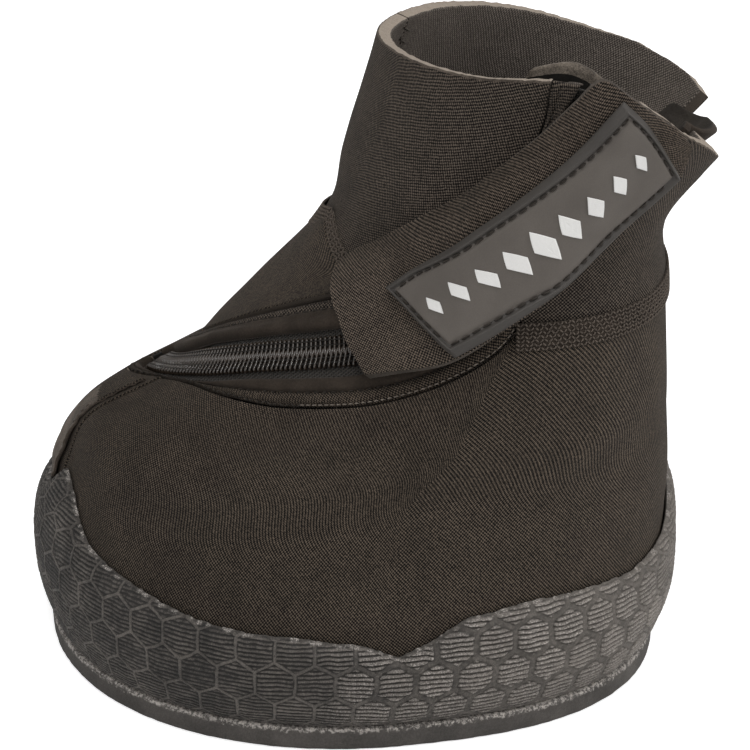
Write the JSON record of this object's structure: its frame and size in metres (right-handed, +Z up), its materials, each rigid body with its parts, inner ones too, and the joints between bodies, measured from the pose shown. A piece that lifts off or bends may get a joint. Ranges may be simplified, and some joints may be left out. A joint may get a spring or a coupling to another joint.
{
  "type": "horse hoof boot",
  "caption": "Slip-on horse hoof boot with a moulded rubber rand and treaded outsole, a stretch upper, a side zip with its slider and a hook-and-loop strap that peels open.",
  "frame": {"origin": "centre of the sole on the ground", "axes": "+Z up, the toe points to -Y, the zip and strap side faces +X"},
  "size_m": [0.1476, 0.1691, 0.1546],
  "materials": {
    "sole_rubber": "moulded matte rubber with worn bright edges",
    "neoprene": "knit-faced neoprene",
    "strap_knit": "ribbed knit on foam",
    "sewn_tape": "stitched tape",
    "hook_and_loop": "hook and loop pile",
    "zip_coil": "glossy nylon coil",
    "dark_metal": "dark plated metal",
    "badge_rubber": "smooth moulded rubber",
    "board": "fibre board",
    "foam": "fabric-faced foam"
  },
  "bodies": {
    "boot": {"outsole": "sole_rubber", "rand": "sole_rubber", "lasting_board": "board", "insole_pad": "foam", "cup_near": "neoprene", "cup_far": "neoprene", "collar_front": "neoprene", "collar_far": "neoprene", "collar_near": "neoprene", "heel_gusset": "neoprene", "toe_tape": "sewn_tape", "heel_tape": "sewn_tape", "seam_band_front": "sewn_tape", "seam_band_side": "sewn_tape", "zip_facing_front": "neoprene", "zip_facing_side": "neoprene", "zip_tape_front": "sewn_tape", "zip_tape_side": "sewn_tape", "zip_chain_front": "zip_coil", "zip_chain_side": "zip_coil", "zip_bottom_stop": "dark_metal", "zip_top_stop_front": "dark_metal", "zip_top_stop_side": "dark_metal", "zip_guard": "neoprene", "loop_patch": "hook_and_loop"},
    "strap": {"strap": "strap_knit", "hook_patch": "hook_and_loop", "badge": "badge_rubber"},
    "slider": {"zip_slider": "dark_metal"},
    "puller": {"zip_puller": "dark_metal"}
  },
  "joints": [
    {"name": "strap_peel", "type": "hinge", "parent": "boot", "child": "strap", "pos_m": [0.04281, 0.06853, 0.1288], "axis": [0.1489, 0.275, 0.9498], "range_deg": [0, 70]},
    {"name": "slider_run", "type": "slide", "parent": "boot", "child": "slider", "axis": [0.0473, -0.5858, -0.8091], "range_m": [0, 0.0139], "deforming": ["zip_chain_front", "zip_chain_side", "zip_tape_front", "zip_tape_side"]},
    {"name": "puller_sway", "type": "hinge", "parent": "slider", "child": "puller", "pos_m": [0.0476, 0.04314, 0.13872], "axis": [0.9874, -0.1397, 0.0739], "range_deg": [-25, 10]}
  ]
}
